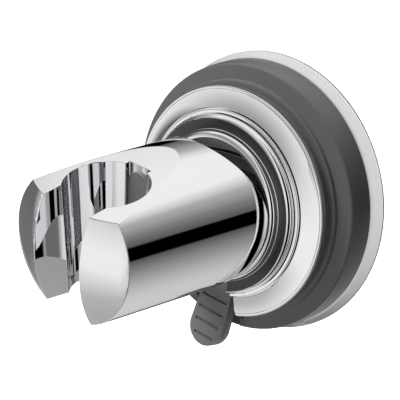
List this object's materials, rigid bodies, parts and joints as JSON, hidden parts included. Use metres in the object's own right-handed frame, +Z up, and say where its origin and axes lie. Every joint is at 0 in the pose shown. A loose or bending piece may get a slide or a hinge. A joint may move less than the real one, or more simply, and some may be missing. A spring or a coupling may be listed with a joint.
{
  "type": "suction hand shower holder",
  "caption": "Wall holder for a hand shower: a tilting chrome arm with a slotted tapered socket on a base that a cam lever grips to smooth tiles by suction.",
  "frame": {"origin": "centre of the suction cup's contact face, in the plane of the wall", "axes": "+Y points into the wall, the arm stands out along -Y, +Z is up, +X is to the right seen from the front"},
  "size_m": [0.0874, 0.0881, 0.0932],
  "materials": {
    "chrome": "bright chrome plate on moulded plastic",
    "grey_plastic": "satin dark grey moulding",
    "inner_plastic": "plain natural moulding",
    "strip_plastic": "matt soft strip",
    "clear_vinyl": "clear soft vinyl",
    "steel": "stainless steel"
  },
  "bodies": {
    "base": {"suction_cup": "clear_vinyl", "housing": "grey_plastic", "lever_pin": "steel", "cover": "chrome", "trim_ring": "chrome", "foot_ring": "grey_plastic", "neck": "chrome", "neck_screws": "steel", "tilt_stem": "steel", "lock_washer": "steel", "lock_nut": "steel"},
    "arm": {"arm": "chrome", "grip_strip": "strip_plastic", "clamp_screw": "steel", "front_shoe": "inner_plastic", "retaining_plate": "inner_plastic", "plate_screws": "steel"},
    "lever": {"lever": "grey_plastic"},
    "draw": {"cup_anchor": "steel", "draw_plate": "inner_plastic", "draw_nut": "steel"}
  },
  "joints": [
    {"name": "arm_tilt", "type": "hinge", "parent": "base", "child": "arm", "pos_m": [0, -0.045, 0], "axis": [1, 0, 0], "range_deg": [-15, 15]},
    {"name": "lever_turn", "type": "hinge", "parent": "base", "child": "lever", "pos_m": [0, -0.014, -0.018], "axis": [-1, 0, 0], "range_deg": [0, 50]},
    {"name": "cup_draw", "type": "slide", "parent": "base", "child": "draw", "axis": [0, 1, 0], "range_m": [0, 0.002]}
  ],
  "couplings": [
    {"joint": "cup_draw", "follows": "lever_turn", "m_per_rad": 0.00229}
  ]
}
